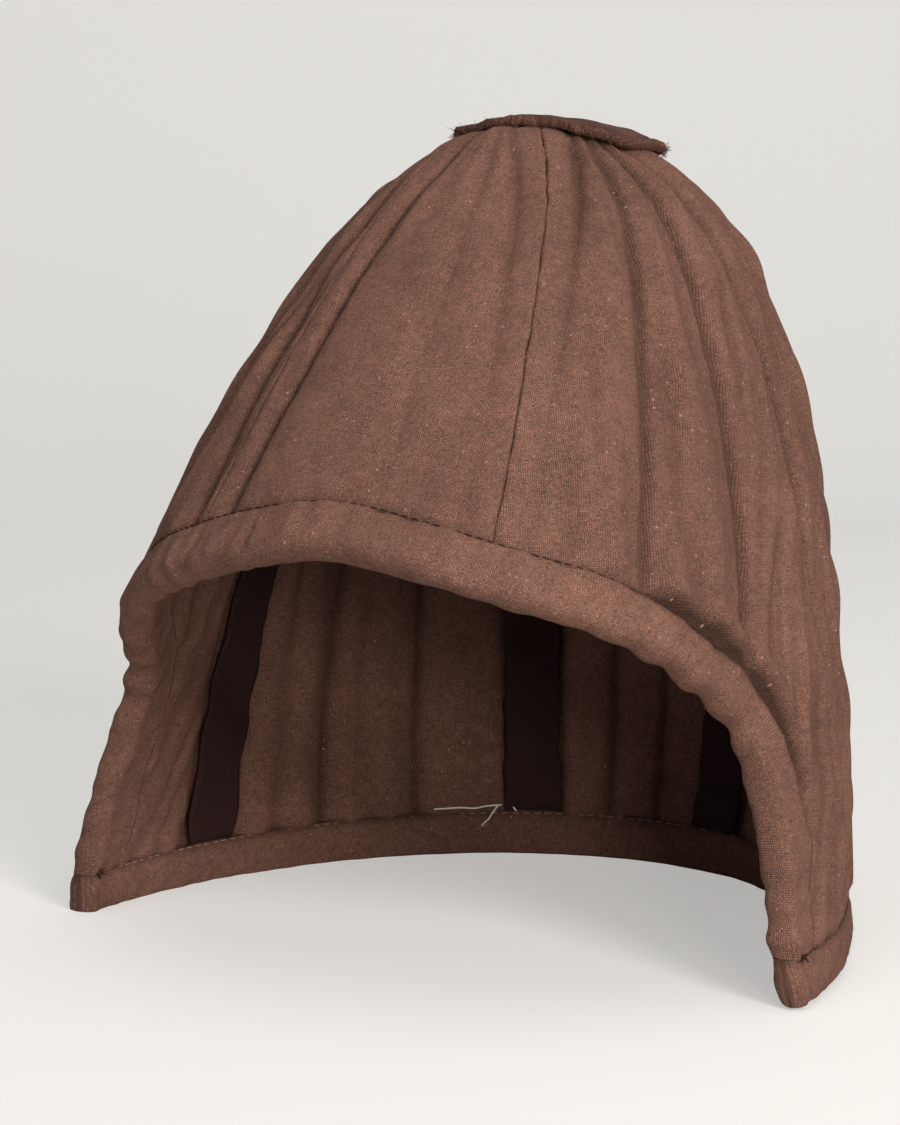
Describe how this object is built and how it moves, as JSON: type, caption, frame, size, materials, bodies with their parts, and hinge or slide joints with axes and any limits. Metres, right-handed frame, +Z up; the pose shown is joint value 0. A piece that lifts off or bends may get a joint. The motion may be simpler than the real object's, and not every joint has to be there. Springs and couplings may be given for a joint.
{
  "type": "arming cap",
  "caption": "Padded, quilted cloth arming cap in gores, open round the face, with side flaps and a round crown patch, standing on its hem.",
  "frame": {"origin": "middle of the underside of the cap's box, on the surface that the hem stands on", "axes": "+Z up to the crown, the face opening looks along -Y, +X is the wearer's left"},
  "size_m": [0.2334, 0.204, 0.23],
  "materials": {
    "canvas": "heavy plain-weave cotton canvas, reddish brown, quilted",
    "patch": "the same canvas, raw edged and darker",
    "tape": "smooth dark brown cotton tape"
  },
  "bodies": {
    "root": {"gore_front": "canvas", "gore_front_left": "canvas", "gore_front_right": "canvas", "gore_back_left": "canvas", "gore_back_right": "canvas", "gore_back": "canvas", "face_band": "canvas", "hem_band": "canvas", "crown_patch": "patch", "tape_front_left": "tape", "tape_front_right": "tape", "tape_side_left": "tape", "tape_side_right": "tape", "tape_back_left": "tape", "tape_back_right": "tape"}
  },
  "joints": []
}
